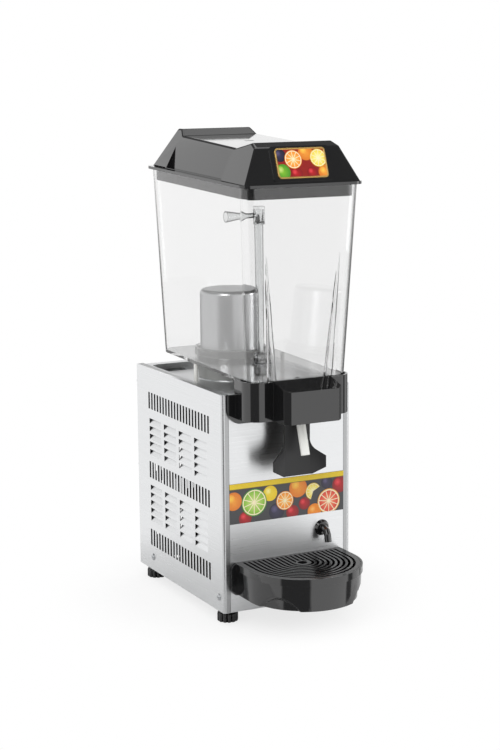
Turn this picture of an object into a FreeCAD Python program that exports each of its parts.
import FreeCAD, Part
import math
import os
import re
import Sketcher

# Juice dispenser with one clear bowl, a cold cylinder, a spray pump and a push lever tap.
# Millimetres. X runs across, Y runs to the back, Z runs up from the counter.
# The origin lies on the counter, in the middle of the four feet.

# Driving dimensions in millimetres, degrees and counts
SIZES = {
    # Casing
    "casing_width": 200,  # outside width of the steel casing
    "casing_depth": 293,  # outside depth of the steel casing
    "casing_height": 309,  # height of the steel casing without its feet
    "sheet_gauge": 1,  # thickness of the sheet steel
    "corner_strip": 9.8,  # width of the side panel that turns onto the front
    "corner_radius": 4,  # outside radius of the folded front corners
    "fold_width": 11,  # width of the folds inside the casing
    "panel_gap": 0.4,  # gap between neighbouring panels
    "deck_recess": 7,  # depth of the pressed recess in the top deck
    "deck_border": 15,  # border around the recess in the top deck

    # Air slots and louvres in the side panels
    "slot_width": 4,  # width of an air slot
    "slot_length": 25,  # length of an air slot
    "slot_pitch": 10.19,  # spacing of the air slots
    "slot_count": 21,  # air slots in a row
    "slot_first": 44.5,  # first air slot behind the front of the casing
    "slot_row_low": 38,  # lower end of the lowest slots above the casing's edge
    "slot_row_middle": 142.5,  # lower end of the middle slots above the casing's edge
    "slot_row_high": 248,  # lower end of the highest slots above the casing's edge
    "louvre_length": 42,  # length of a louvre
    "louvre_height": 8.5,  # height of a louvre
    "louvre_depth": 4.5,  # how far a louvre is pressed in
    "louvre_first": 49.4,  # first louvre behind the front of the casing
    "louvre_low": 75.8,  # lowest louvre above the casing's edge
    "louvre_pitch": 11.8,  # vertical spacing of the louvres
    "louvre_rows": 5,  # louvre rows in a group
    "louvre_columns": 4,  # louvre columns
    "louvre_column_pitch": 52.3,  # spacing of the louvre columns
    "louvre_group_pitch": 102,  # height from the lower to the upper louvre group

    # Openings and fittings in the back
    "vent_width": 4,  # width of a slot in the back
    "vent_length": 34,  # length of a slot in the back
    "vent_pitch": 10,  # spacing of the slots in the back
    "vent_count": 15,  # slots in a row in the back
    "vent_low": 40,  # lowest slots in the back above the casing's edge
    "vent_row_pitch": 50,  # spacing of the rows of slots in the back
    "power_switch_x": 52,  # power switch from the middle
    "pump_switch_x": 24,  # pump switch from the middle
    "gland_x": 50,  # cable gland from the middle
    "switch_half": 9.5,  # half the width of a switch behind the back sheet
    "switch_half_height": 12.9,  # half the height of a switch behind the back sheet

    # Feet
    "foot_height": 18,  # height of the casing's edge above the counter
    "foot_radius": 15,  # radius of a foot knob
    "foot_knob_height": 13,  # height of a foot knob
    "foot_notches": 12,  # grip notches around a foot
    "foot_inset_x": 17,  # foot centre in from the casing's side
    "foot_inset_y": 24,  # foot centre in from the casing's front and back
    "stud_radius": 4,  # radius of the foot's threaded stud
    "thread_clearance": 0.06,  # gap around a turning stud or pin

    # Front print, drain spout
    "print_bottom": 126.4,  # lower edge of the front print above the casing's edge
    "print_height": 57,  # height of the front print
    "screw_low": 20.5,  # side screws above the casing's edge
    "screw_front": 15.5,  # front side screws behind the casing's front
    "screw_back": 50,  # rear side screws ahead of the casing's back
    "screw_radius": 2,  # radius of a screw's shank
    "screw_head": 5.2,  # radius of a screw's head
    "print_thickness": 0.3,  # thickness of the front print
    "spout_inset": 45,  # drain spout in from the casing's right side
    "spout_height": 104.5,  # drain spout above the casing's edge
    "spout_flange_radius": 11.7,  # radius of the drain spout's flange
    "spout_tube_radius": 5,  # radius of the drain spout's tube
    "spout_wall": 1.6,  # thickness of the drain spout's tube
    "drain_back": 28,  # deck's drain hole behind the casing's front

    # Drip tray and grille
    "tray_radius": 83.5,  # outside radius of the drip tray's rim
    "tray_centre": 44,  # centre of the tray's round front ahead of the casing
    "tray_top": 72,  # top of the drip tray above the casing's edge
    "tray_height": 46,  # height of the drip tray
    "tray_rim_height": 10,  # height of the drip tray's rim band
    "tray_step": 1.4,  # step from the rim band in to the tray's wall
    "tray_taper": 2,  # how far the tray's wall leans in down to its floor
    "tray_wall": 2.5,  # thickness of the drip tray's wall
    "tray_floor": 3,  # thickness of the drip tray's floor
    "tray_lip": 2.8,  # width of the rim around the grille
    "tray_back_half": 90,  # half the width of the tray's back plate
    "tray_hook_offset": 48,  # tray hooks from the middle
    "tray_hook_half": 6.5,  # half the width of a tray hook
    "tray_hook_drop": 32.8,  # tray hooks below the tray's top
    "tray_hook_gauge": 3,  # thickness of a tray hook
    "relief_inset": 7.5,  # bottom of the tray's side reliefs in from its rim
    "relief_radius": 54.5,  # radius of the arch that bounds a side relief
    "relief_drop": 33.5,  # centre of that arch below the tray's underside
    "relief_angle": 37.5,  # side reliefs round from the tray's sides, degrees
    "grille_thickness": 4,  # thickness of the drip grille
    "grille_slot": 3.8,  # width of a grille slot
    "grille_pitch": 7.2,  # spacing of the grille slots
    "grille_rings": 10,  # bent slots in the grille
    "grille_hub": 9.4,  # radius of the grille's hub
    "grille_hole": 6.8,  # radius of the finger hole in the hub
    "grille_bar": 3,  # width of the bar behind the ribs

    # Bowl
    "bowl_wall": 3,  # thickness of the bowl's wall
    "bowl_floor": 4,  # thickness of the bowl's floor
    "bowl_corner": 20,  # radius of the bowl's corners
    "bowl_low_half": 75,  # half the bowl's width at its floor
    "bowl_high_half": 88,  # half the bowl's width at its rim
    "bowl_low_front": 41,  # bowl's front ahead of the casing, at its floor
    "bowl_high_front": 55,  # bowl's front ahead of the casing, at its rim
    "bowl_low_back": 256,  # bowl's back behind the casing's front, at its floor
    "bowl_high_back": 262,  # bowl's back behind the casing's front, at its rim
    "bowl_lift": 21.2,  # underside of the bowl above the casing, at the casing's middle
    "bowl_height": 268.7,  # height of the bowl at the casing's middle
    "floor_fall": 1.3,  # slope of the bowl's floor down to the tap, degrees
    "rim_fall": 2.1,  # slope of the bowl's rim down to the front, degrees
    "flute_radius": 5,  # radius of the front flutes at the bowl's floor
    "flute_height": 172,  # height of the front flutes
    "flute_low_offset": 43,  # flute from the middle, at the floor
    "flute_high_offset": 56,  # flute from the middle, at its upper end

    # Cold cylinder, pump and spray
    "cold_radius": 42.5,  # radius of the cold cylinder
    "cold_height": 121,  # height of the cold cylinder above the casing
    "cold_back": 174.5,  # cold cylinder's axis behind the casing's front
    "cold_wall": 1,  # thickness of the cold cylinder's steel
    "gasket_width": 5,  # width of the gasket between cold cylinder and bowl
    "post_back": 146,  # bowl posts behind the casing's front
    "post_radius": 3.2,  # radius of a bowl post
    "pump_back": 80,  # pump axis behind the casing's front
    "well_radius": 14.5,  # inside radius of the pump well
    "well_depth": 21,  # depth of the pump well below the bowl's floor
    "impeller_radius": 11,  # radius of the impeller
    "impeller_height": 8,  # height of the impeller
    "spray_radius": 5.2,  # outside radius of the spray tube
    "spray_top": 226,  # spray tube's upper end above the casing
    "nozzle_reach": 50,  # reach of the spray nozzle from its tube

    # Lid
    "lid_half": 92,  # half the width of the lid's rim
    "lid_front": 57,  # lid's rim ahead of the casing
    "lid_back": 266,  # lid's rim behind the casing's front
    "lid_corner": 15,  # radius of the lid rim's corners
    "lid_wall": 2.5,  # thickness of the lid's wall
    "lid_rim_height": 4,  # height of the lid's rim
    "lid_step": 3.5,  # step from the lid's rim in to its sides
    "lid_top_half": 60,  # half the width of the lid's top
    "lid_rise": 50.6,  # top of the lid's front block above the bowl's rim at the casing's middle
    "lid_lean": 18,  # how far the lid's front leans back
    "lid_brow": 6.5,  # height of the bevel above the lid's front
    "brow_front": 19,  # upper end of that bevel ahead of the casing
    "lid_dip": 8.5,  # dip of the lid's deck behind its front block
    "dip_back": 22,  # lowest line of the lid's deck behind the casing's front
    "deck_rise": 1.5,  # back of the lid's deck above its front block
    "lid_ridge": 11,  # height of the lid's rear ridge above its front block
    "ridge_foot": 200,  # foot of the rear ridge behind the casing's front
    "ridge_front": 213,  # front of the ridge's top behind the casing's front
    "ridge_back": 229,  # back of the ridge's top behind the casing's front
    "lid_rounding": 5,  # radius of the lid's corners
    "grip_ledge": 4.5,  # ledge of the side grips above the bowl's rim
    "grip_low_half": 78.5,  # half the width between the grips at the foot of their faces
    "grip_high_half": 60.5,  # half the width between the grips at the lid's top
    "badge_half": 37.8,  # half the width of the lid's badge
    "badge_height": 42,  # height of the lid's badge
    "badge_low": 8,  # lower edge of the badge above the foot of the lid's front
    "badge_corner": 5,  # radius of the badge's corners
    "badge_frame": 2,  # width of the badge's raised frame
    "skirt_height": 16,  # height of the lid's skirt inside the bowl
    "grip_front": 24,  # front end of the lid's side grips behind the casing's front
    "grip_back": 212,  # back end of the lid's side grips behind the casing's front

    # Front cover and tap
    "cover_wall": 2.5,  # thickness of the front cover
    "wing_half": 81,  # half the width of the cover's wings
    "wing_front": 45,  # front of the wings ahead of the casing
    "wing_radius": 24,  # radius of the wings' corners
    "cover_drop": 33,  # lower edge of the cover below the casing's top
    "wing_rise": 21,  # upper edge of the wings above the casing's top
    "box_half": 44,  # half the width of the cover's middle box
    "box_front": 82,  # front of the middle box ahead of the casing
    "box_chamfer": 7.5,  # chamfer of the box's upright edges
    "flange_half": 93,  # half the width of the cover's flange
    "flange_thickness": 3,  # thickness of the cover's flange
    "flange_drop": 41,  # lower edge of the flange below the casing's top
    "cover_screw_out": 22,  # cover screws out from the middle box
    "cover_screw_drop": 18,  # cover screws below the casing's top
    "pivot_front": 17,  # lever pivot ahead of the casing
    "pivot_drop": 9,  # lever pivot below the casing's top
    "pin_radius": 2,  # radius of the lever pin
    "barrel_radius": 4.6,  # radius of the lever's hinge barrel
    "lug_width": 4,  # width of the cover's two lever lugs
    "lever_half": 19.4,  # half the width of the lever's neck
    "lever_front": 31,  # front face of the lever ahead of the casing
    "lever_thickness": 4,  # thickness of the lever
    "lever_length": 107,  # lever's lower end below its pivot
    "paddle_height": 50.4,  # height of the lever's paddle
    "paddle_round": 20,  # radius of the hollow corner between neck and paddle wing
    "paddle_turn": 55,  # turn of that corner, degrees
    "paddle_wing": 22.4,  # width of each paddle wing
    "paddle_angle": 25,  # angle of the paddle wings, degrees
    "outlet_radius": 6.2,  # outside radius of the outlet tube
    "outlet_bore": 4,  # bore radius of the outlet tube
    "outlet_front": 29,  # outlet spigot ahead of the casing
    "outlet_angle": 17.5,  # forward lean of the outlet tube, degrees
    "outlet_bend": 4.5,  # bend of the outlet tube below the casing's top
    "outlet_drop": 83,  # lower end of the outlet tube below the casing's top

    # Machinery inside the casing
    "compressor_radius": 52,  # radius of the compressor's shell
    "compressor_height": 118,  # height of the compressor
    "compressor_x": 30,  # compressor's axis right of the middle
    "compressor_back": 205,  # compressor's axis behind the casing's front
    "mount_half_x": 46,  # compressor's mounts left and right of its axis
    "mount_half_y": 42,  # compressor's mounts ahead of and behind its axis
    "condenser_front": 25,  # front of the condenser behind the casing's front
    "condenser_depth": 130,  # length of the condenser
    "condenser_height": 132,  # height of the condenser
    "condenser_thickness": 26,  # thickness of the condenser
    "condenser_fins": 10,  # fins of the condenser
    "fan_radius": 50,  # radius of the fan
    "pump_motor_radius": 24,  # radius of the pump motor
    "pump_motor_height": 42,  # height of the pump motor
    "pipe_radius": 3,  # radius of the copper pipes
}

document = FreeCAD.newDocument("juice_dispenser")
sheet = document.addObject("Spreadsheet::Sheet", "sizes")
for row, (name, value) in enumerate(SIZES.items(), 1):
    sheet.set("A%d" % row, name)
    sheet.set("B%d" % row, str(value))
    sheet.setAlias("B%d" % row, name)
document.recompute()

FRONT = "(-casing_depth / 2)"
BACK = "(casing_depth / 2)"
HALF = "(casing_width / 2)"
EDGE = "foot_height"
TOP = "(foot_height + casing_height)"
SPOUT_X = "(casing_width / 2 - spout_inset)"


def in_sheet(text):
    """Turn the size names in a formula into references to the sheet."""
    def refer(match):
        word = match.group(0)
        return "sizes." + word if word in SIZES else word
    return re.sub(r"[A-Za-z_][A-Za-z_0-9]*", refer, str(text))


def number(text):
    """Work out a formula of size names."""
    return float(sheet.evalExpression(in_sheet(text)))


def bind(thing, field, text):
    """Tie one property to a formula of size names."""
    thing.setExpression(field, in_sheet(text))


def vector(x, y, z=0):
    return FreeCAD.Vector(x, y, z)


def plane(body, role):
    """Find one of a body's own origin planes or axes."""
    for feature in body.Origin.OriginFeatures:
        if feature.Role == role:
            return feature


def new_body(label):
    body = document.addObject("PartDesign::Body", label)
    body.Label = label
    return body


def new_sketch(body, role, offset="0", tilt=None):
    """Sketch on an origin plane, shifted along its normal and tilted about its X axis."""
    sketch = body.newObject("Sketcher::SketchObject", body.Name + "_outline")
    sketch.AttachmentSupport = [(plane(body, role), "")]
    sketch.MapMode = "FlatFace"
    if tilt:
        lean = FreeCAD.Rotation(vector(1, 0), number(tilt))
        sketch.AttachmentOffset = FreeCAD.Placement(vector(0, 0), lean)
        bind(sketch, "AttachmentOffset.Rotation.Angle", tilt)
    bind(sketch, "AttachmentOffset.Base.z", offset)
    return sketch


def fix_value(sketch, constraint, text):
    index = sketch.addConstraint(constraint)
    bind(sketch, "Constraints[%d]" % index, text)


def fix_point(sketch, geometry, point, x, y):
    across = Sketcher.Constraint("DistanceX", -1, 1, geometry, point, number(x))
    fix_value(sketch, across, x)
    along = Sketcher.Constraint("DistanceY", -1, 1, geometry, point, number(y))
    fix_value(sketch, along, y)


def polygon(sketch, corners):
    """Closed outline of straight lines through corners given as formulas."""
    first = sketch.GeometryCount
    places = [vector(number(x), number(y)) for x, y in corners]
    count = len(corners)
    for index in range(count):
        sketch.addGeometry(Part.LineSegment(places[index], places[(index + 1) % count]))
    for index in range(count):
        following = first + (index + 1) % count
        sketch.addConstraint(Sketcher.Constraint("Coincident", first + index, 2, following, 1))
    for index, (x, y) in enumerate(corners):
        fix_point(sketch, first + index, 1, x, y)


def rectangle(sketch, left, right, low, high):
    polygon(sketch, [(left, low), (right, low), (right, high), (left, high)])


def circle(sketch, x, y, radius):
    shape = Part.Circle(vector(number(x), number(y)), vector(0, 0, 1), number(radius))
    geometry = sketch.addGeometry(shape)
    fix_value(sketch, Sketcher.Constraint("Radius", geometry, number(radius)), radius)
    fix_point(sketch, geometry, 3, x, y)


def rounded_rectangle(sketch, left, right, low, high, radius):
    """Rectangle with four equal round corners, all tangent."""
    first = sketch.GeometryCount
    x0, x1, y0, y1 = number(left), number(right), number(low), number(high)
    r = number(radius)
    ends = [(x0 + r, y0, x1 - r, y0), (x1, y0 + r, x1, y1 - r),
            (x1 - r, y1, x0 + r, y1), (x0, y1 - r, x0, y0 + r)]
    for ax, ay, bx, by in ends:
        sketch.addGeometry(Part.LineSegment(vector(ax, ay), vector(bx, by)))
    centres = [(x1 - r, y0 + r), (x1 - r, y1 - r), (x0 + r, y1 - r), (x0 + r, y0 + r)]
    for turn, (cx, cy) in enumerate(centres):
        ring = Part.Circle(vector(cx, cy), vector(0, 0, 1), r)
        start = (turn - 1) * math.pi / 2
        sketch.addGeometry(Part.ArcOfCircle(ring, start, start + math.pi / 2))
    for turn in range(4):
        line, arc = first + turn, first + 4 + turn
        following = first + (turn + 1) % 4
        sketch.addConstraint(Sketcher.Constraint("Tangent", line, 2, arc, 1))
        sketch.addConstraint(Sketcher.Constraint("Tangent", arc, 2, following, 1))
    for turn in range(3):
        sketch.addConstraint(Sketcher.Constraint("Equal", first + 4 + turn, first + 5 + turn))
    sketch.addConstraint(Sketcher.Constraint("Horizontal", first))
    sketch.addConstraint(Sketcher.Constraint("Vertical", first + 1))
    sketch.addConstraint(Sketcher.Constraint("Horizontal", first + 2))
    sketch.addConstraint(Sketcher.Constraint("Vertical", first + 3))
    fix_value(sketch, Sketcher.Constraint("Radius", first + 4, r), radius)
    fix_value(sketch, Sketcher.Constraint("DistanceY", -1, 1, first, 1, y0), low)
    fix_value(sketch, Sketcher.Constraint("DistanceX", -1, 1, first + 1, 1, x1), right)
    fix_value(sketch, Sketcher.Constraint("DistanceY", -1, 1, first + 2, 1, y1), high)
    fix_value(sketch, Sketcher.Constraint("DistanceX", -1, 1, first + 3, 1, x0), left)


def pad(body, sketch, length, both=False, away=False):
    """Add material to a sketch: on both sides, along its normal, or away from it."""
    feature = body.newObject("PartDesign::Pad", body.Name + "_pad")
    feature.Profile = sketch
    feature.SideType = "Symmetric" if both else "One side"
    feature.Reversed = away
    bind(feature, "Length", length)
    return feature


def pocket(body, sketch, length, both=False, along=False):
    """Cut against the sketch's normal, on both sides of it, or along the normal."""
    feature = body.newObject("PartDesign::Pocket", body.Name + "_pocket")
    feature.Profile = sketch
    feature.SideType = "Symmetric" if both else "One side"
    feature.Reversed = along
    bind(feature, "Length", length)
    return feature


def loft(body, low, high):
    feature = body.newObject("PartDesign::AdditiveLoft", body.Name + "_loft")
    feature.Profile = low
    feature.Sections = [high]
    feature.Ruled = True
    return feature


def pattern(body, features, sketch, count, length, rows="1", row_length="1"):
    """Repeat features along the sketch's horizontal axis and, in rows, its vertical one."""
    feature = body.newObject("PartDesign::LinearPattern", body.Name + "_pattern")
    feature.Originals = features
    feature.Direction = (sketch, ["H_Axis"])
    feature.Direction2 = (sketch, ["V_Axis"])
    bind(feature, "Occurrences", count)
    bind(feature, "Length", length)
    bind(feature, "Occurrences2", rows)
    bind(feature, "Length2", row_length)
    body.Tip = feature
    return feature


def edge_names(feature, wanted):
    """Names of the edges of a feature that a test picks out."""
    document.recompute()
    edges = enumerate(feature.Shape.Edges, 1)
    return ["Edge%d" % index for index, edge in edges if wanted(edge)]


def round_edges(body, feature, radius, wanted):
    """Round the edges of a feature that a test picks out."""
    rounding = body.newObject("PartDesign::Fillet", body.Name + "_rounding")
    rounding.Base = (feature, edge_names(feature, wanted))
    bind(rounding, "Radius", radius)
    return rounding


def slope_edges(body, feature, width, wanted):
    """Chamfer the edges of a feature that a test picks out."""
    slope = body.newObject("PartDesign::Chamfer", body.Name + "_slope")
    slope.Base = (feature, edge_names(feature, wanted))
    bind(slope, "Size", width)
    return slope


def upright_near(x, y):
    """Test for an upright edge at a place given as formulas."""
    def test(edge):
        box = edge.BoundBox
        flat = box.XLength < 0.01 and box.YLength < 0.01
        return flat and abs(box.XMin - number(x)) < 0.05 and abs(box.YMin - number(y)) < 0.05
    return test


def place(thing, x, y, z, axis="Z"):
    """Put a primitive at a formula place, its axis along X, Y or Z."""
    turns = {"X": (vector(0, 1), 90), "Y": (vector(1, 0), -90), "Z": (vector(0, 0, 1), 0)}
    about, angle = turns[axis]
    thing.Placement = FreeCAD.Placement(vector(0, 0), FreeCAD.Rotation(about, angle))
    bind(thing, "Placement.Base.x", x)
    bind(thing, "Placement.Base.y", y)
    bind(thing, "Placement.Base.z", z)


def cylinder(name, x, y, z, radius, height, axis="Z"):
    thing = document.addObject("Part::Cylinder", name)
    bind(thing, "Radius", radius)
    bind(thing, "Height", height)
    place(thing, x, y, z, axis)
    return thing


def cone(name, x, y, z, low_radius, high_radius, height, axis="Z"):
    thing = document.addObject("Part::Cone", name)
    bind(thing, "Radius1", low_radius)
    bind(thing, "Radius2", high_radius)
    bind(thing, "Height", height)
    place(thing, x, y, z, axis)
    return thing


def prism(name, x, y, z, radius, height, sides):
    """Upright bar with flat sides, lighter than a round one."""
    thing = document.addObject("Part::Prism", name)
    thing.Polygon = sides
    bind(thing, "Circumradius", radius)
    bind(thing, "Height", height)
    place(thing, x, y, z)
    return thing


def box(name, left, right, front, back, low, high):
    thing = document.addObject("Part::Box", name)
    bind(thing, "Length", "(%s) - (%s)" % (right, left))
    bind(thing, "Width", "(%s) - (%s)" % (back, front))
    bind(thing, "Height", "(%s) - (%s)" % (high, low))
    place(thing, left, front, low)
    return thing


def fuse(name, things):
    joined = document.addObject("Part::MultiFuse", name)
    joined.Label = name
    joined.Shapes = things
    return joined


def common(name, first, second):
    """Keep what two things share."""
    result = document.addObject("Part::MultiCommon", name)
    result.Label = name
    result.Shapes = [first, second]
    return result


def cut(name, base, tools):
    """Take one or more tools away from a base."""
    tool = tools[0] if len(tools) == 1 else fuse(name + "_tools", tools)
    result = document.addObject("Part::Cut", name)
    result.Label = name
    result.Base = base
    result.Tool = tool
    return result


def ring(name, x, y, z, outer, inner, height, axis="Z"):
    """Tube with a round bore."""
    outside = cylinder(name + "_outside", x, y, z, outer, height, axis)
    inside = cylinder(name + "_bore", x, y, z, inner, height, axis)
    return cut(name, outside, [inside])


def group(name, things):
    """Keep separate alike solids in one piece."""
    together = document.addObject("Part::Compound", name)
    together.Label = name
    together.Links = things
    return together


def from_front(distance):
    """Y of a place given by its distance behind the casing's front."""
    return "(%s + %s)" % (FRONT, distance)


def above_edge(height):
    return "(%s + %s)" % (EDGE, height)


def above_top(height):
    return "(%s + %s)" % (TOP, height)


# Casing

def slot_outline(sketch, low):
    """Upright air slot with square ends, at the first place of its row."""
    middle = from_front("slot_first")
    bottom = above_edge(low)
    rectangle(sketch, middle + " - slot_width / 2", middle + " + slot_width / 2",
              bottom, bottom + " + slot_length")


def side_panel(label, side):
    """Side of the casing with its folds, air slots, pressed louvres and screw holes."""
    body = new_body(label)
    outer = "%d * %s" % (side, HALF)
    inner = "%d * (%s - sheet_gauge)" % (side, HALF)
    strip = "%d * (%s - corner_strip)" % (side, HALF)
    fold = "%d * (%s - fold_width)" % (side, HALF)
    front_inner = FRONT + " + sheet_gauge"
    back_inner = BACK + " - sheet_gauge"

    wall = new_sketch(body, "XY_Plane", EDGE)
    polygon(wall, [(outer, FRONT), (outer, BACK), (fold, BACK), (fold, back_inner),
                   (inner, back_inner), (inner, front_inner), (strip, front_inner),
                   (strip, FRONT)])
    folded = pad(body, wall, "casing_height")
    folded = round_edges(body, folded, "corner_radius", upright_near(outer, FRONT))
    folded = round_edges(body, folded, "corner_radius - sheet_gauge",
                         upright_near(inner, front_inner))

    for level in (EDGE, TOP + " - sheet_gauge"):
        flap = new_sketch(body, "XY_Plane", level)
        rectangle(flap, fold, inner, FRONT + " + corner_radius", back_inner)
        pad(body, flap, "sheet_gauge")

    slots = new_sketch(body, "YZ_Plane", outer)
    for row in ("slot_row_low", "slot_row_middle", "slot_row_high"):
        slot_outline(slots, row)
    opening = pocket(body, slots, "4 * sheet_gauge", both=True)
    pattern(body, [opening], slots, "slot_count", "slot_pitch * (slot_count - 1)")

    first = from_front("louvre_first")
    windows = new_sketch(body, "YZ_Plane", outer)
    lips = new_sketch(body, "XZ_Plane", "-" + first)
    for lift in ("0", "louvre_group_pitch"):
        low = above_edge("louvre_low + " + lift)
        high = low + " + louvre_height"
        rectangle(windows, first, first + " + louvre_length", low, high)
        deep = "%d * (%s - louvre_depth)" % (side, HALF)
        deeper = "%d * (%s - louvre_depth - sheet_gauge)" % (side, HALF)
        polygon(lips, [(outer, low + " - sheet_gauge"), (outer, low), (deep, high),
                       (deeper, high), (inner, low), (inner, low + " - sheet_gauge")])
    window = pocket(body, windows, "4 * sheet_gauge", both=True)
    lip = pad(body, lips, "louvre_length", away=True)
    pattern(body, [window, lip], windows,
            "louvre_columns", "louvre_column_pitch * (louvre_columns - 1)",
            "louvre_rows", "louvre_pitch * (louvre_rows - 1)")

    holes = new_sketch(body, "YZ_Plane", outer)
    circle(holes, from_front("screw_front"), above_edge("screw_low"), "screw_radius")
    circle(holes, BACK + " - screw_back", above_edge("screw_low"), "screw_radius")
    pocket(body, holes, "4 * sheet_gauge", both=True)

    back_holes = new_sketch(body, "XZ_Plane", "-" + BACK)
    for height in ("casing_height / 12", "casing_height / 2", "casing_height * 11 / 12"):
        circle(back_holes, "%d * (%s - fold_width / 2)" % (side, HALF), above_edge(height),
               "screw_radius * 0.8")
    pocket(body, back_holes, "4 * sheet_gauge", both=True)
    return body


def mirrored(label, thing):
    """The same piece on the other side of the middle plane."""
    copy = document.addObject("Part::Mirroring", label)
    copy.Label = label
    copy.Source = thing
    copy.Normal = vector(1, 0)
    return copy


TRAY_BOTTOM = above_edge("tray_top - tray_height")
HOOK_LOW = above_edge("tray_top - tray_hook_drop")


def front_panel():
    """Front sheet between the corner strips, with holes for spout, hooks and cover screws."""
    body = new_body("front_panel")
    edge = "(%s - corner_strip - panel_gap)" % HALF
    sheet_back = FRONT + " + sheet_gauge"
    fold_back = FRONT + " + fold_width"
    section = new_sketch(body, "XY_Plane", EDGE + " + panel_gap")
    polygon(section, [("-" + edge, FRONT), (edge, FRONT), (edge, fold_back),
                      (edge + " - sheet_gauge", fold_back), (edge + " - sheet_gauge", sheet_back),
                      ("-%s + sheet_gauge" % edge, sheet_back),
                      ("-%s + sheet_gauge" % edge, fold_back), ("-" + edge, fold_back)])
    pad(body, section, "casing_height - 2 * panel_gap")
    ends = new_sketch(body, "YZ_Plane", "0")
    clear = "(sheet_gauge + 2 * panel_gap)"
    rectangle(ends, sheet_back, fold_back + " + 1", EDGE, "%s + %s" % (EDGE, clear))
    rectangle(ends, sheet_back, fold_back + " + 1", "%s - sheet_gauge - %s" % (TOP, clear), TOP)
    pocket(body, ends, "2 * casing_width", both=True)
    holes = new_sketch(body, "XZ_Plane", "-" + FRONT)
    circle(holes, SPOUT_X, above_edge("spout_height"), "spout_tube_radius + 0.2")
    for side in (-1, 1):
        circle(holes, "%d * (box_half + cover_screw_out)" % side,
               above_top("- cover_screw_drop"), "screw_radius")
        middle = "%d * tray_hook_offset" % side
        rectangle(holes, middle + " - tray_hook_half - 1", middle + " + tray_hook_half + 1",
                  HOOK_LOW + " - 0.2", HOOK_LOW + " + tray_hook_gauge + 11")
    pocket(body, holes, "4 * sheet_gauge", both=True)
    return body


def rear_panel():
    """Screwed back sheet with air slots and openings for switches and cable gland."""
    body = new_body("rear_panel")
    sheet_face = new_sketch(body, "XZ_Plane", "-(%s + 0.1)" % BACK)
    rectangle(sheet_face, "-%s + 1" % HALF, HALF + " - 1", above_edge("2"), above_top("- 2"))
    pad(body, sheet_face, "sheet_gauge", away=True)
    slots = new_sketch(body, "XZ_Plane", "-" + BACK)
    first = "-vent_pitch * (vent_count - 1) / 2"
    for row in range(3):
        low = above_edge("vent_low + %d * vent_row_pitch" % row)
        rectangle(slots, first + " - vent_width / 2", first + " + vent_width / 2",
                  low, low + " + vent_length")
    opening = pocket(body, slots, "6 * sheet_gauge", both=True)
    pattern(body, [opening], slots, "vent_count", "vent_pitch * (vent_count - 1)")
    holes = new_sketch(body, "XZ_Plane", "-" + BACK)
    for side in (-1, 1):
        for height in ("casing_height / 12", "casing_height / 2", "casing_height * 11 / 12"):
            circle(holes, "%d * (%s - fold_width / 2)" % (side, HALF), above_edge(height),
                   "screw_radius")
    for middle in SWITCHES:
        rectangle(holes, middle + " - switch_half - 0.1", middle + " + switch_half + 0.1",
                  SWITCH_LOW, SWITCH_LOW + " + 26")
    circle(holes, GLAND_X, SWITCH_LOW + " + 13", "8")
    pocket(body, holes, "6 * sheet_gauge", both=True)
    return body


SWITCHES = ("power_switch_x", "pump_switch_x")
SWITCH_LOW = above_edge("casing_height * 0.8")
GLAND_X = "(-gland_x)"
DECK_SKIN = "(%s - sheet_gauge - 0.1)" % TOP
DECK_FLOOR = "(%s - deck_recess)" % DECK_SKIN


def top_deck():
    """Steel deck with a pressed recess, an air opening, and holes for pipes and drain."""
    body = new_body("top_deck")
    edge = "(%s - sheet_gauge - 0.2)" % HALF
    skin = new_sketch(body, "XY_Plane", DECK_SKIN)
    rounded_rectangle(skin, "-" + edge, edge, FRONT + " + sheet_gauge + 0.2",
                      BACK + " - sheet_gauge - 0.2", "corner_radius")
    pad(body, skin, "sheet_gauge", away=True)
    document.recompute()
    for inset, depth, cutting in (("0", "deck_recess + sheet_gauge", False),
                                  ("sheet_gauge", "deck_recess", True)):
        half = "(%s - deck_border - %s)" % (HALF, inset)
        recess = new_sketch(body, "XY_Plane", DECK_SKIN)
        rounded_rectangle(recess, "-" + half, half, "%s + deck_border + %s" % (FRONT, inset),
                          "%s - deck_border - %s" % (BACK, inset), "12 - " + inset)
        if cutting:
            pocket(body, recess, depth)
        else:
            pad(body, recess, depth, away=True)
    holes = new_sketch(body, "XY_Plane", DECK_FLOOR)
    circle(holes, "0", from_front("cold_back"), "16")
    circle(holes, SPOUT_X, from_front("drain_back"), "4")
    rectangle(holes, "-66", "-35", BACK + " - 42", BACK + " - deck_border - 2")
    pocket(body, holes, "6 * sheet_gauge", both=True)
    return body


def base_plate():
    """Floor of the casing, with upturned sides and holes for feet and compressor."""
    body = new_body("base_plate")
    edge = "(%s - sheet_gauge - 0.2)" % HALF
    low = above_edge("sheet_gauge + 0.1")
    section = new_sketch(body, "XZ_Plane", "-(%s + sheet_gauge + 12)" % FRONT)
    high = low + " + 30"
    polygon(section, [("-" + edge, low), (edge, low), (edge, high),
                      (edge + " - sheet_gauge", high), (edge + " - sheet_gauge", low + " + sheet_gauge"),
                      ("-%s + sheet_gauge" % edge, low + " + sheet_gauge"),
                      ("-%s + sheet_gauge" % edge, high), ("-" + edge, high)])
    pad(body, section, "casing_depth - 2 * sheet_gauge - 24", away=True)
    holes = new_sketch(body, "XY_Plane", low)
    for x, y in foot_places():
        circle(holes, x, y, "stud_radius + 0.5")
    pocket(body, holes, "6 * sheet_gauge", both=True)
    sides = new_sketch(body, "YZ_Plane", "0")
    circle(sides, from_front("screw_front"), above_edge("screw_low"), "screw_radius * 0.8")
    circle(sides, BACK + " - screw_back", above_edge("screw_low"), "screw_radius * 0.8")
    pocket(body, sides, "casing_width", both=True)
    return body


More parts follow.
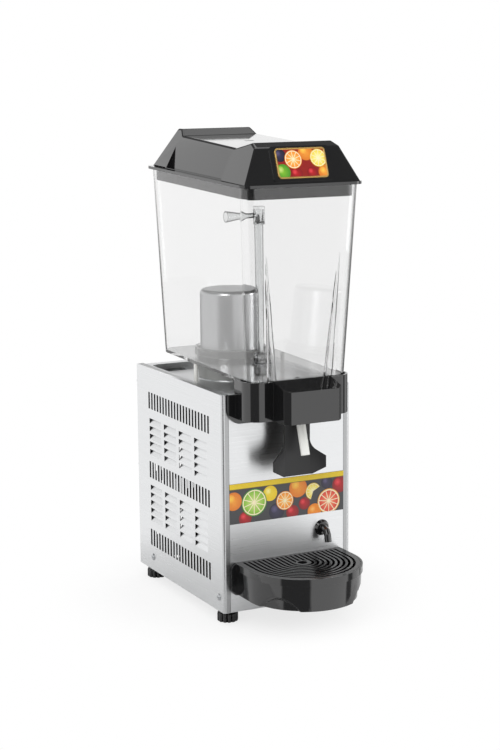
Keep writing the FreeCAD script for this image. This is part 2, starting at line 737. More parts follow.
def foot_places():
    """Centres of the four feet."""
    for back in (-1, 1):
        for side in (-1, 1):
            yield ("%d * (%s - foot_inset_x)" % (side, HALF),
                   "%d * (casing_depth / 2 - foot_inset_y)" % back)


def foot(label, x, y):
    """Knob with grip notches and a moulded threaded stud."""
    knob = cylinder(label + "_knob", x, y, "0", "foot_radius", "foot_knob_height")
    neck = cylinder(label + "_neck", x, y, "foot_knob_height - 0.5", "stud_radius * 2", "3")
    stud = cylinder(label + "_stud", x, y, "foot_knob_height - 0.5", "stud_radius",
                    "foot_height - foot_knob_height + 12")
    turned = []
    for index in range(int(number("foot_notches"))):
        angle = "%d * 360 / foot_notches" % index
        turned.append(prism(label + "_notch", "%s + (foot_radius + 0.9) * cos(%s)" % (x, angle),
                            "%s + (foot_radius + 0.9) * sin(%s)" % (y, angle), "-1",
                            "2", "foot_knob_height + 2", 6))
    gripped = cut(label + "_grip", knob, turned)
    return fuse(label, [gripped, neck, stud])


def foot_nuts():
    """Square weld nuts on the base plate, one over each foot."""
    nuts = []
    low = above_edge("2 * sheet_gauge + 0.1")
    for x, y in foot_places():
        block = box("nut_block", x + " - 8", x + " + 8", y + " - 8", y + " + 8",
                    low, low + " + 6")
        bore = cylinder("nut_bore", x, y, low + " - 1", "stud_radius + thread_clearance", "8")
        nuts.append(cut("nut", block, [bore]))
    return group("foot_nuts", nuts)


def screw(name, x, y, z, axis, outward):
    """Plain screw with a low head that starts at the given place and points outward."""
    turns = {"X": (vector(0, 1), 90 * outward), "Y": (vector(1, 0), -90 * outward)}
    about, angle = turns[axis]
    turned = FreeCAD.Placement(vector(0, 0), FreeCAD.Rotation(about, angle))
    head = prism(name + "_head", "0", "0", "0", "screw_head", "screw_head * 0.45", 12)
    shank = prism(name + "_shank", "0", "0", "0", "screw_radius * 0.8", "7.5", 8)
    inward = {"X": (-7 * outward, 0), "Y": (0, -7 * outward)}[axis]
    for thing, shift in ((head, (0, 0)), (shank, inward)):
        thing.Placement = turned
        bind(thing, "Placement.Base.x", "%s + %g" % (x, shift[0]))
        bind(thing, "Placement.Base.y", "%s + %g" % (y, shift[1]))
        bind(thing, "Placement.Base.z", z)
    return fuse(name, [head, shank])


def side_screws():
    screws = []
    for side in (-1, 1):
        for y in (from_front("screw_front"), BACK + " - screw_back"):
            screws.append(screw("side_screw", "%d * %s" % (side, HALF), y,
                                above_edge("screw_low"), "X", side))
    return group("side_screws", screws)


def rear_screws():
    screws = []
    for side in (-1, 1):
        for height in ("casing_height / 12", "casing_height / 2", "casing_height * 11 / 12"):
            screws.append(screw("rear_screw", "%d * (%s - fold_width / 2)" % (side, HALF),
                                BACK + " + sheet_gauge + 0.1", above_edge(height), "Y", 1))
    return group("rear_screws", screws)


def front_print():
    """Thin printed film across the front panel."""
    edge = "(%s - corner_strip - panel_gap)" % HALF
    film = box("front_print", "-" + edge, edge, FRONT + " - print_thickness", FRONT,
               above_edge("print_bottom"), above_edge("print_bottom + print_height"))
    film.Label = "front_print"
    return film


def round_path(corners, bend):
    """Wire through corners given as formulas, each bend an arc of the same radius."""
    points = [vector(number(x), number(y), number(z)) for x, y, z in corners]
    radius = number(bend)
    edges = []
    start = points[0]
    for index in range(1, len(points) - 1):
        before = (points[index - 1] - points[index]).normalize()
        after = (points[index + 1] - points[index]).normalize()
        half_angle = before.getAngle(after) / 2
        reach = radius / math.tan(half_angle)
        first = points[index] + before * reach
        last = points[index] + after * reach
        inward = (before + after).normalize()
        middle = points[index] + inward * (radius / math.sin(half_angle) - radius)
        edges.append(Part.LineSegment(start, first).toShape())
        edges.append(Part.Arc(first, middle, last).toShape())
        start = last
    edges.append(Part.LineSegment(start, points[-1]).toShape())
    return Part.Wire(edges)


def swept_rod(path, radius):
    """Round rod along a wire."""
    edge = path.OrderedEdges[0]
    start = edge.valueAt(edge.FirstParameter)
    direction = edge.tangentAt(edge.FirstParameter)
    section = Part.Wire(Part.Circle(start, direction, radius).toShape())
    return path.makePipeShell([section], True, False)


def ring_of_points(middle, across, up, radius, count):
    """Closed regular outline around a point, in the plane of two directions."""
    places = []
    for index in range(count + 1):
        angle = 2 * math.pi * (index % count) / count
        places.append(middle + across * (radius * math.cos(angle)) + up * (radius * math.sin(angle)))
    return Part.makePolygon(places)


def cut_corner_path(corners, bend):
    """Line through corners given as formulas, each corner cut by two short lines."""
    points = [vector(number(x), number(y), number(z)) for x, y, z in corners]
    reach = number(bend)
    places = [points[0]]
    for index in range(1, len(points) - 1):
        before = (points[index - 1] - points[index]).normalize()
        after = (points[index + 1] - points[index]).normalize()
        middle = points[index] + (before + after) * (reach * 0.29)
        places += [points[index] + before * reach, middle, points[index] + after * reach]
    places.append(points[-1])
    return Part.makePolygon(places)


def plain_pipe(label, corners, bend, radius, sides=8):
    """Pipe with flat sides and cut corners, so that it stays light."""
    path = cut_corner_path(corners, bend)
    first, second = path.OrderedVertexes[0].Point, path.OrderedVertexes[1].Point
    along = (second - first).normalize()
    across = along.cross(vector(0.1, 0.2, 1)).normalize()
    section = ring_of_points(first, across, along.cross(across), number(radius), sides)
    pipe = document.addObject("Part::Feature", label)
    pipe.Label = label
    pipe.Shape = path.makePipeShell([section], True, False, 1)
    return pipe


def bent_tube(label, corners, bend, outer, inner="0"):
    """Bent tube or rod; its bore runs its whole length."""
    path = round_path(corners, bend)
    shape = swept_rod(path, number(outer))
    if number(inner) > 0:
        shape = shape.cut(swept_rod(path, number(inner)))
    tube = document.addObject("Part::Feature", label)
    tube.Label = label
    tube.Shape = shape
    return tube


# Drain spout, drip tray and grille

def spout_path():
    height = above_edge("spout_height")
    return [(SPOUT_X, FRONT + " + 12", height), (SPOUT_X, FRONT + " - 15.5", height),
            (SPOUT_X, FRONT + " - 19", height + " - 17")]


def drain_spout():
    """Moulded elbow that lets water from the deck run into the drip tray."""
    tube = plain_pipe("spout_tube", spout_path(), "7", "spout_tube_radius", 16)
    flange = cone("spout_flange", SPOUT_X, FRONT, above_edge("spout_height"),
                  "spout_flange_radius", "spout_flange_radius - 3", "4", "Y")
    turned = FreeCAD.Rotation(vector(1, 0), 90)
    flange.Placement = FreeCAD.Placement(vector(0, 0), turned)
    for field, text in (("x", SPOUT_X), ("y", FRONT), ("z", above_edge("spout_height"))):
        bind(flange, "Placement.Base." + field, text)
    bore = plain_pipe("spout_bore", spout_path(), "7", "spout_tube_radius - spout_wall", 16)
    return cut("drain_spout", fuse("spout_body", [tube, flange]), [bore])


def drain_hose():
    """Hose from the deck's drain hole down to the spout."""
    x = SPOUT_X
    back = from_front("drain_back")
    height = above_edge("spout_height")
    corners = [(x, back, DECK_FLOOR + " - 1"), (x, back, height), (x, FRONT + " + 5", height)]
    hose = plain_pipe("hose_body", corners, "9", "spout_tube_radius + 2")
    socket = cylinder("hose_socket", x, FRONT + " + 4", height, "spout_tube_radius + 0.05", "9", "Y")
    return cut("drain_hose", hose, [socket])


def round_front(name, radius, low, high, back):
    """Half round block in front of the casing, as seen from above."""
    centre = from_front("- tray_centre")
    nose = cylinder(name + "_nose", "0", centre, low, radius, "(%s) - (%s)" % (high, low))
    rest = box(name + "_rest", "-(%s)" % radius, radius, centre, back, low, high)
    behind = box(name + "_behind", "-2 * tray_radius", "2 * tray_radius", back,
                 back + " + 2 * tray_radius", low + " - 1", high + " + 1")
    return cut(name, fuse(name + "_whole", [nose, rest]), [behind])


def tray_wall_form(name, low, high, back):
    """Solid of the tray's outside below its rim: round front, sides that lean in downward."""
    centre = from_front("- tray_centre")
    narrow = "(tray_radius - tray_step - tray_taper)"
    wide = "(tray_radius - tray_step)"
    height = "(%s) - (%s)" % (high, low)
    nose = cone(name + "_nose", "0", centre, low, narrow, wide, height)
    body = new_body(name + "_sides")
    section = new_sketch(body, "XZ_Plane", "-(%s)" % centre)
    polygon(section, [("-" + narrow, low), (narrow, low), (wide, high), ("-" + wide, high)])
    pad(body, section, "(%s) - (%s)" % (back, centre), away=True)
    front_half = fuse(name + "_whole", [nose, body])
    behind = box(name + "_behind", "-2 * tray_radius", "2 * tray_radius", back,
                 back + " + 2 * tray_radius", low + " - 1", high + " + 1")
    return cut(name, front_half, [behind])


def tray_relief(side, core):
    """Shallow hollow under an arch, pressed into one side of the tray's round front."""
    angle = "relief_angle"
    reach = "(tray_radius * 0.8)"
    depth = "(tray_radius * 0.4)"
    arch = document.addObject("Part::Cone", "relief_arch")
    bind(arch, "Radius1", "relief_radius - %s / 2" % depth)
    bind(arch, "Radius2", "relief_radius + %s / 2" % depth)
    bind(arch, "Height", depth)
    turn = math.radians(number(angle))
    outward = vector(side * math.cos(turn), -math.sin(turn))
    arch.Placement = FreeCAD.Placement(vector(0, 0), FreeCAD.Rotation(vector(0, 0, 1), outward))
    bind(arch, "Placement.Base.x", "%d * %s * cos(%s)" % (side, reach, angle))
    bind(arch, "Placement.Base.y", "%s - %s * sin(%s)" % (from_front("- tray_centre"), reach, angle))
    bind(arch, "Placement.Base.z", "%s - relief_drop" % TRAY_BOTTOM)
    return cut("tray_relief", arch, [core])


def tray_back_plate(back):
    """Thin plate with round corners that closes the tray's back against the casing."""
    body = new_body("tray_back_plate")
    outline = new_sketch(body, "XZ_Plane", "-(%s)" % back)
    rounded_rectangle(outline, "-tray_back_half", "tray_back_half", TRAY_BOTTOM,
                      above_edge("tray_top - 1"), "tray_rim_height * 0.9")
    pad(body, outline, "tray_wall * 2")
    return body


def drip_tray():
    """Half round tray with a rim band, side reliefs, a ledge for the grille and rear hooks."""
    top = above_edge("tray_top")
    back = "(%s - 0.4)" % FRONT
    inner_back = "(%s - tray_wall)" % back
    core = "(tray_radius - relief_inset)"
    low = TRAY_BOTTOM
    band = round_front("tray_band", "tray_radius", top + " - tray_rim_height", top, back)
    shell = tray_wall_form("tray_shell", low, top + " - 1", back)
    reliefs = []
    for side in (-1, 1):
        kept = round_front("relief_core", core, low + " - 2 * tray_height", top + " + tray_height", back)
        reliefs.append(tray_relief(side, kept))
    solid = [band, cut("tray_pressed", shell, reliefs), tray_back_plate(back)]
    for side in (-1, 1):
        x = "%d * tray_hook_offset" % side
        left, right = x + " - tray_hook_half", x + " + tray_hook_half"
        hook_high = HOOK_LOW + " + tray_hook_gauge"
        hook_back = FRONT + " + sheet_gauge + tray_hook_gauge"
        solid.append(box("tray_tab", left, right, back + " - 1", hook_back, HOOK_LOW, hook_high))
        solid.append(box("tray_hook", left, right, FRONT + " + sheet_gauge + 0.3", hook_back,
                         HOOK_LOW + " - 5", hook_high))
    basin = round_front("tray_basin", core + " - tray_wall", low + " + tray_floor", top + " + 1",
                        inner_back)
    ledge = round_front("tray_ledge", "tray_radius - tray_lip", top + " - grille_thickness - 0.2",
                        top + " + 1", inner_back)
    return cut("drip_tray", fuse("tray_body", solid), [basin, ledge])


def grille_opening(index, low, high, back):
    """One slot of the grille: half round in front, then straight back on both sides."""
    middle = "%d * grille_pitch" % index
    outside = round_front("slot_outside", middle + " + grille_slot / 2", low + " - 1", high + " + 1",
                          back)
    if index == 0:
        return outside
    inside = round_front("slot_inside", middle + " - grille_slot / 2", low + " - 2", high + " + 2",
                         back)
    return cut("grille_slot", outside, [inside])


def drip_grille():
    """Flat grille of bent ribs around a finger hole, tied by low spokes and a rear bar."""
    radius = "(tray_radius - tray_lip - 0.3)"
    low = above_edge("tray_top - grille_thickness")
    high = above_edge("tray_top")
    centre = from_front("- tray_centre")
    back = "(%s - 0.7 - tray_wall)" % FRONT
    plate = round_front("grille_plate", radius, low, high, back)
    openings = [grille_opening(index, low, high, back + " - grille_bar")
                for index in range(int(number("grille_rings")) + 1)]
    kept = [cylinder("grille_hub", "0", centre, low + " - 2", "grille_hub", "grille_thickness + 4")]
    for angle in (-45, -135):
        spoke = document.addObject("Part::Box", "grille_spoke")
        bind(spoke, "Length", radius)
        bind(spoke, "Width", "grille_bar")
        bind(spoke, "Height", "grille_thickness / 2 + 2")
        turn = FreeCAD.Rotation(vector(0, 0, 1), angle)
        spoke.Placement = FreeCAD.Placement(vector(0, 0), turn)
        bind(spoke, "Placement.Base.x", "grille_bar / 2 * sin(%d)" % angle)
        bind(spoke, "Placement.Base.y", "%s - grille_bar / 2 * cos(%d)" % (centre, angle))
        bind(spoke, "Placement.Base.z", low + " - 2")
        kept.append(spoke)
    slots = cut("grille_slots", fuse("grille_openings", openings), kept)
    hole = cylinder("grille_finger_hole", "0", centre, low + " - 1", "grille_hole",
                    "grille_thickness + 2")
    return cut("drip_grille", plate, [slots, hole])


# Bowl, cold cylinder and pump

BOWL_LOW = above_top("bowl_lift")
BOWL_HIGH = above_top("bowl_lift + bowl_height")


def bowl_form(label, inset, rise, extra):
    """Tapered block with round corners; its floor and rim slope down to the front."""
    body = new_body(label)
    low = new_sketch(body, "XY_Plane", "%s + %s" % (BOWL_LOW, rise), tilt="floor_fall")
    rounded_rectangle(low, "-(bowl_low_half - %s)" % inset, "bowl_low_half - %s" % inset,
                      "%s - bowl_low_front + %s" % (FRONT, inset),
                      "%s + bowl_low_back - %s" % (FRONT, inset), "bowl_corner - " + inset)
    high = new_sketch(body, "XY_Plane", "%s + %s" % (BOWL_HIGH, extra), tilt="rim_fall")
    rounded_rectangle(high, "-(bowl_high_half - %s)" % inset, "bowl_high_half - %s" % inset,
                      "%s - bowl_high_front + %s" % (FRONT, inset),
                      "%s + bowl_high_back - %s" % (FRONT, inset), "bowl_corner - " + inset)
    loft(body, low, high)
    return body


def flute(name, side, widen):
    """Long slender cone that makes one of the two flutes in the bowl's front."""
    start = vector(side * number("flute_low_offset"), number(from_front("- bowl_low_front")),
                   number(BOWL_LOW) - 2)
    lean = number("(bowl_high_front - bowl_low_front) / bowl_height")
    rise = number("flute_height")
    finish = vector(side * number("flute_high_offset"), start.y - lean * rise, start.z + rise)
    thing = document.addObject("Part::Cone", name)
    bind(thing, "Radius1", "flute_radius + " + widen)
    bind(thing, "Radius2", "0.3 + " + widen)
    bind(thing, "Height", "flute_height")
    turn = FreeCAD.Rotation(vector(0, 0, 1), finish - start)
    thing.Placement = FreeCAD.Placement(start, turn)
    return thing


def floor_height(distance):
    """Underside of the sloping bowl floor at a distance behind the casing's front."""
    return "(%s + tan(floor_fall) * (%s + %s))" % (BOWL_LOW, FRONT, distance)


def bowl():
    """Clear bowl with two tapered flutes, a collar, a pump well and an outlet spigot."""
    outside = cut("bowl_outside", bowl_form("bowl_outer_form", "0", "0", "0"),
                  [flute("flute_left", -1, "0"), flute("flute_right", 1, "0")])
    inside = cut("bowl_inside", bowl_form("bowl_inner_form", "bowl_wall", "bowl_floor", "0.5"),
                 [flute("flute_left_inside", -1, "bowl_wall"),
                  flute("flute_right_inside", 1, "bowl_wall")])
    shell = cut("bowl_shell", outside, [inside])
    cold_y = from_front("cold_back")
    pump_y = from_front("pump_back")
    cold_floor = floor_height("cold_back")
    pump_floor = floor_height("pump_back")
    spigot_y = from_front("- outlet_front")
    spigot_floor = floor_height("- outlet_front")
    hole = "(cold_radius + gasket_width + thread_clearance)"
    collar = cylinder("bowl_collar", "0", cold_y, cold_floor + " + 1", hole + " + bowl_wall", "14")
    well = cylinder("bowl_well", "0", pump_y, pump_floor + " - well_depth - 2.5",
                    "well_radius + 2.5", "well_depth + 5")
    spigot = cylinder("bowl_spigot", "0", spigot_y, spigot_floor + " - 14",
                      "outlet_bore - thread_clearance", "16")
    whole = fuse("bowl_body", [shell, collar, well, spigot])
    cold_hole = cylinder("bowl_cold_hole", "0", cold_y, cold_floor + " - 5", hole, "30")
    well_hole = cylinder("bowl_well_hole", "0", pump_y, pump_floor + " - well_depth",
                         "well_radius", "well_depth + 20")
    bore = cylinder("bowl_outlet_bore", "0", spigot_y, spigot_floor + " - 15",
                    "outlet_bore - 1.2", "30")
    return cut("bowl", whole, [cold_hole, well_hole, bore])


def cold_cylinder():
    """Deep drawn steel cylinder on the deck, chilled from inside, with a base flange."""
    body = new_body("cold_cylinder")
    profile = new_sketch(body, "XZ_Plane", "-" + from_front("cold_back"))
    low = DECK_FLOOR
    high = above_top("cold_height")
    polygon(profile, [("17", low), ("cold_radius + 9", low), ("cold_radius + 9", low + " + cold_wall"),
                      ("cold_radius", low + " + cold_wall"), ("cold_radius", high), ("0", high),
                      ("0", high + " - cold_wall"), ("cold_radius - cold_wall", high + " - cold_wall"),
                      ("cold_radius - cold_wall", low + " + cold_wall"), ("17", low + " + cold_wall")])
    turned = body.newObject("PartDesign::Revolution", "cold_cylinder_turned")
    turned.Profile = profile
    turned.ReferenceAxis = (profile, ["V_Axis"])
    turned.Angle = 360

    def circle_at(radius, level):
        def test(edge):
            span = edge.BoundBox
            wide = abs(span.XLength - 2 * number(radius)) < 0.05
            return wide and span.ZLength < 0.01 and abs(span.ZMin - number(level)) < 0.05
        return test

    inner = slope_edges(body, turned, "3", circle_at("cold_radius - cold_wall",
                                                     high + " - cold_wall"))
    round_edges(body, inner, "6", circle_at("cold_radius", high))
    return body


def cold_gasket():
    """Rubber ring that seals the bowl's collar against the cold cylinder."""
    low = DECK_FLOOR + " + cold_wall"
    high = floor_height("cold_back") + " + 13"
    return ring("bowl_gasket", "0", from_front("cold_back"), low, "cold_radius + gasket_width",
                "cold_radius", "(%s) - (%s)" % (high, low))


def bowl_posts():
    """Two posts on the deck that carry the bowl's sloping floor."""
    posts = []
    height = "(%s) - (%s) - tan(floor_fall) * post_radius" % (floor_height("post_back"), DECK_FLOOR)
    for side in (-1, 1):
        x = "%d * (bowl_low_half - 5)" % side
        posts.append(cylinder("bowl_post", x, from_front("post_back"), DECK_FLOOR, "post_radius",
                              height))
    return group("bowl_posts", posts)


WELL_FLOOR = floor_height("pump_back") + " - well_depth"
PUMP_FLOOR = floor_height("pump_back") + " + bowl_floor"
PUMP_Y = from_front("pump_back")
CAP_SEAT = "(%s + tan(floor_fall) * (well_radius + 1.5))" % PUMP_FLOOR


def impeller_pin():
    """Steel pin that stands in the floor of the pump well."""
    return cylinder("impeller_pin", "0", PUMP_Y, WELL_FLOOR, "1.5", "impeller_height + 6")


def impeller():
    """Magnet disc with four paddles that turns on the pin in the pump well."""
    low = WELL_FLOOR + " + 1"
    disc = cylinder("impeller_disc", "0", PUMP_Y, low, "impeller_radius", "impeller_height / 2")
    hub = cylinder("impeller_hub", "0", PUMP_Y, low, "3.5", "impeller_height")
    reach = "(impeller_radius * 0.95)"
    along = box("impeller_paddle", "-" + reach, reach, PUMP_Y + " - 0.9", PUMP_Y + " + 0.9",
                low, low + " + impeller_height")
    across = box("impeller_paddle", "-0.9", "0.9", "%s - %s" % (PUMP_Y, reach),
                 "%s + %s" % (PUMP_Y, reach), low, low + " + impeller_height")
    bore = cylinder("impeller_bore", "0", PUMP_Y, low + " - 1", "1.5 + thread_clearance",
                    "impeller_height + 2")
    return cut("impeller", fuse("impeller_body", [disc, hub, along, across]), [bore])


def pump_housing():
    """Cap over the pump well, with a plug, four inlet ports and a socket for the tube."""
    body = new_body("pump_cap")
    profile = new_sketch(body, "XZ_Plane", "-" + PUMP_Y)
    neck = "(spray_radius + 6)"
    shoulder = above_top("40")
    polygon(profile, [("spray_radius", shoulder), ("spray_radius", shoulder + " - 5"),
                      (neck + " - 2.5", shoulder + " - 8"), (neck + " - 2.5", PUMP_FLOOR + " - 8"),
                      ("well_radius - 0.1", PUMP_FLOOR + " - 8"),
                      ("well_radius - 0.1", CAP_SEAT), ("well_radius + 1.5", CAP_SEAT),
                      ("well_radius + 1.5", CAP_SEAT + " + 1.5"), (neck, CAP_SEAT + " + 3"),
                      (neck, shoulder + " - 3"), (neck + " - 3", shoulder)])
    turned = body.newObject("PartDesign::Revolution", "pump_cap_turned")
    turned.Profile = profile
    turned.ReferenceAxis = (profile, ["V_Axis"])
    turned.Angle = 360
    low = PUMP_FLOOR + " + 4"
    ports = [box("inlet_port", "-20", "20", PUMP_Y + " - 2.5", PUMP_Y + " + 2.5", low, low + " + 5"),
             box("inlet_port", "-2.5", "2.5", PUMP_Y + " - 20", PUMP_Y + " + 20", low, low + " + 5")]
    return cut("pump_housing", body, ports)


def spray_tube():
    """Clear tube that carries the drink up from the pump to the nozzle."""
    return ring("spray_tube", "0", PUMP_Y, above_top("35"), "spray_radius", "spray_radius - 1.2",
                "spray_top - 35")


def spray_nozzle():
    """Cap on the spray tube with a flared arm that throws the drink sideways."""
    axis_height = above_top("spray_top + 8.5")
    hub = cylinder("nozzle_hub", "0", PUMP_Y, above_top("spray_top - 4"), "spray_radius + 2.3", "25")
    arm = cylinder("nozzle_arm", "-(nozzle_reach - 27)", PUMP_Y, axis_height, "3.5",
                   "nozzle_reach - 27", "X")
    flare = cone("nozzle_flare", "-nozzle_reach", PUMP_Y, axis_height, "8", "3.5", "28", "X")
    socket = cylinder("nozzle_socket", "0", PUMP_Y, above_top("spray_top - 5"), "spray_radius", "5")
    chamber = cylinder("nozzle_chamber", "0", PUMP_Y, above_top("spray_top - 1"),
                       "spray_radius - 1.2", "18")
    arm_bore = cylinder("nozzle_arm_bore", "-(nozzle_reach - 26.5)", PUMP_Y, axis_height, "2.2",
                        "nozzle_reach - 26.5", "X")
    flare_bore = cone("nozzle_flare_bore", "-nozzle_reach - 0.01", PUMP_Y, axis_height,
                      "6.8", "2.2", "28", "X")
    return cut("spray_nozzle", fuse("nozzle_body", [hub, arm, flare]),
               [socket, chamber, arm_bore, flare_bore])


# Lid

LID_TOP = "(%s + lid_rise)" % BOWL_HIGH


def rim_height(distance):
    """Height of the sloping rim between bowl and lid at a distance behind the front."""
    return "(%s + tan(rim_fall) * (%s + %s))" % (BOWL_HIGH, FRONT, distance)


def lid_form(label, inset, depth):
    """Block of the lid with its last feature: leaning front, bevel, ridge, sloping sides."""
    body = new_body(label)
    profile = new_sketch(body, "YZ_Plane", "0")
    front = from_front("- lid_front + lid_step + %s" % inset)
    back = from_front("lid_back - lid_step - %s" % inset)
    low_front = rim_height("- lid_front") + " + lid_rim_height - 1 - " + depth
    low_back = rim_height("lid_back") + " + lid_rim_height - 1 - " + depth
    high = "(%s - %s)" % (LID_TOP, inset)
    polygon(profile, [(front, low_front), (back, low_back),
                      (from_front("ridge_back - " + inset), high + " + lid_ridge"),
                      (from_front("ridge_front"), high + " + lid_ridge"),
                      (from_front("ridge_foot"), high + " + deck_rise"),
                      (from_front("dip_back"), high + " - lid_dip"),
                      (from_front("- brow_front"), high),
                      (front + " + lid_lean", high + " - lid_brow")])
    feature = pad(body, profile, "2 * (lid_half - lid_step - %s)" % inset, both=True)
    sides = new_sketch(body, "XZ_Plane", "-" + FRONT)
    base = rim_height("0")
    for side in (-1, 1):
        low = "%d * (lid_half - lid_step - %s)" % (side, inset)
        top = "%d * (lid_top_half - 6 - %s)" % (side, inset)
        far = "%d * (lid_half + 5)" % side
        polygon(sides, [(low, base), (far, base), (far, LID_TOP + " + lid_ridge + 2"),
                        (top, LID_TOP + " + lid_ridge + 2")])
    feature = pocket(body, sides, "4 * casing_depth", both=True)
    return body, feature


def lid_outside():
    body, feature = lid_form("lid_outer_form", "0", "0")
    limit = number(rim_height("lid_back")) + number("lid_rim_height") + 2

    def above_rim(edge):
        return edge.BoundBox.ZMax > limit

    round_edges(body, feature, "lid_rounding", above_rim)
    return body


def rim_block(label, inset, low, high):
    """Rounded block lying in the sloping plane of the lid's rim."""
    body = new_body(label)
    outline = new_sketch(body, "XY_Plane", "%s + %s" % (BOWL_HIGH, low), tilt="rim_fall")
    rounded_rectangle(outline, "-(lid_half - %s)" % inset, "lid_half - %s" % inset,
                      "%s - lid_front + %s" % (FRONT, inset),
                      "%s + lid_back - %s" % (FRONT, inset), "lid_corner")
    pad(body, outline, "%s - (%s)" % (high, low))
    return body


def lid_grip(side, grow="0"):
    """Hollow in the side of the lid for lifting it; its ledge lies along the rim."""
    high = LID_TOP + " + lid_ridge + 2"
    foot = BOWL_HIGH + " - 1.5 * lid_rim_height"
    far = "%d * (lid_half + 9)" % side
    reach = new_body("grip_reach")
    across = new_sketch(reach, "XZ_Plane", "-" + FRONT)
    polygon(across, [("%d * (grip_low_half - %s)" % (side, grow), foot), (far, foot), (far, high),
                     ("%d * (grip_high_half - %s)" % (side, grow), high)])
    pad(reach, across, "4 * casing_depth", both=True)
    span = new_body("grip_span")
    along = new_sketch(span, "YZ_Plane", "0")
    front = "grip_front - " + grow
    back = "grip_back + " + grow
    ledge = " + grip_ledge - " + grow
    polygon(along, [(from_front(front), rim_height(front) + ledge),
                    (from_front(back), rim_height(back) + ledge),
                    (from_front(back + " - 4"), high), (from_front(front + " + 14"), high)])
    pad(span, along, "3 * lid_half", both=True)
    return common("lid_grip", reach, span)


def front_plate(name, half, low, high, lift, depth, rounding):
    """Round-cornered plate on the lid's leaning front, measured up the slope from its foot."""
    foot_z = rim_height("- lid_front") + " + lid_rim_height - 1"
    rise = "((%s - lid_brow) - (%s))" % (LID_TOP, foot_z)
    lean = "atan(lid_lean / %s)" % rise
    body = new_body(name)
    front = "(%s - cos(%s) * (%s))" % (from_front("- lid_front + lid_step"), lean, lift)
    outline = new_sketch(body, "XZ_Plane", "-" + front)
    turn = FreeCAD.Rotation(vector(-1, 0), number(lean))
    outline.AttachmentOffset = FreeCAD.Placement(outline.AttachmentOffset.Base, turn)
    bind(outline, "AttachmentOffset.Rotation.Angle", lean)
    bind(outline, "AttachmentOffset.Base.y", "%s + sin(%s) * (%s)" % (foot_z, lean, lift))
    rounded_rectangle(outline, "-(%s)" % half, half, low, high, rounding)
    pad(body, outline, depth, away=True)
    return body


BADGE_HIGH = "(badge_low + badge_height)"


def lid():
    """Lid with a rim that sits on the bowl, a skirt inside it and two side grips."""
    rim = rim_block("lid_rim", "0", "0", "lid_rim_height")
    skirt_gap = ("(lid_half - bowl_high_half + bowl_wall + 1.3"
                 " + (bowl_high_front - bowl_low_front) * skirt_height / bowl_height)")
    skirt = rim_block("lid_skirt", skirt_gap, "-skirt_height", "1")
    panel = front_plate("lid_panel", "badge_half + 7", "badge_low - 4", BADGE_HIGH + " + 3",
                        "1.2", "2.5", "badge_corner")
    whole = fuse("lid_body", [lid_outside(), rim, skirt, panel])
    hollow, feature = lid_form("lid_hollow", "lid_wall", "1")
    hollow.Tip = feature
    opening = rim_block("lid_opening", skirt_gap + " + lid_wall", "-skirt_height - 1",
                        "lid_rim_height + 1")
    room = cut("lid_room", fuse("lid_space", [hollow, opening]),
               [lid_grip(-1, "lid_wall"), lid_grip(1, "lid_wall")])
    slot = box("lid_slot", "-7", "7", from_front("106"), from_front("111"),
               LID_TOP + " - 12", LID_TOP + " + 12")
    return cut("lid", whole, [room, slot, lid_grip(-1), lid_grip(1)])


def lid_badge():
    """Plate with a raised frame on the front of the lid."""
    plate = front_plate("badge_plate", "badge_half", "badge_low", BADGE_HIGH, "2.9", "1.7",
                        "badge_corner")
    recess = front_plate("badge_recess", "badge_half - badge_frame", "badge_low + badge_frame",
                         BADGE_HIGH + " - badge_frame", "3.5", "1.2", "badge_corner - badge_frame")
    return cut("lid_badge", plate, [recess])


# Front cover and tap

COVER_LOW = above_top("- cover_drop")
PIVOT_Y = from_front("- pivot_front")
PIVOT_Z = above_top("- pivot_drop")
LEVER_FRONT = from_front("- lever_front")
LUG = "(lever_half + 1.2)"


def cover_outline(body, half, front, back, low, high):
    """Pad of a rectangle in front of the casing."""
    outline = new_sketch(body, "XY_Plane", low)
    rectangle(outline, "-" + half, half, front, back)
    return pad(body, outline, "(%s) - (%s)" % (high, low))


def cover_wings(label, inset, low, high):
    """Wide low part of the cover with two large round corners."""
    body = new_body(label)
    front = "%s + %s" % (from_front("- wing_front"), inset)
    half = "(wing_half - %s)" % inset
    feature = cover_outline(body, half, front, FRONT + " + 0.001", low, high)
    corner = upright_near(half, front)
    other = upright_near("-" + half, front)
    round_edges(body, feature, "wing_radius - " + inset, lambda edge: corner(edge) or other(edge))
    return body


def cover_box(label, inset, low):
    """Middle box of the cover: cut upright corners and a top that falls to the front."""
    body = new_body(label)
    front = "%s + %s" % (from_front("- box_front"), inset)
    wings = from_front("- wing_front")
    half = "(box_half - %s)" % inset
    cut_half = "(box_half - box_chamfer - %s * 0.4)" % inset
    cut_front = "%s + box_chamfer" % front
    outline = new_sketch(body, "XY_Plane", low)
    polygon(outline, [("-" + cut_half, front), (cut_half, front), (half, cut_front),
                      (half, wings + " + 4"), ("-" + half, wings + " + 4"), ("-" + half, cut_front)])
    pad(body, outline, "%s - (%s)" % (above_top("40"), low))
    slope = new_sketch(body, "YZ_Plane", "0")
    high_front = above_top("wing_rise - 9.5 - " + inset)
    high_back = above_top("wing_rise + 1 - " + inset)
    far_front = from_front("- box_front - 1")
    polygon(slope, [(far_front, high_front), (wings, high_back), (wings + " + 5", high_back),
                    (wings + " + 5", above_top("60")), (far_front, above_top("60"))])
    pocket(body, slope, "4 * box_half", both=True)
    return body


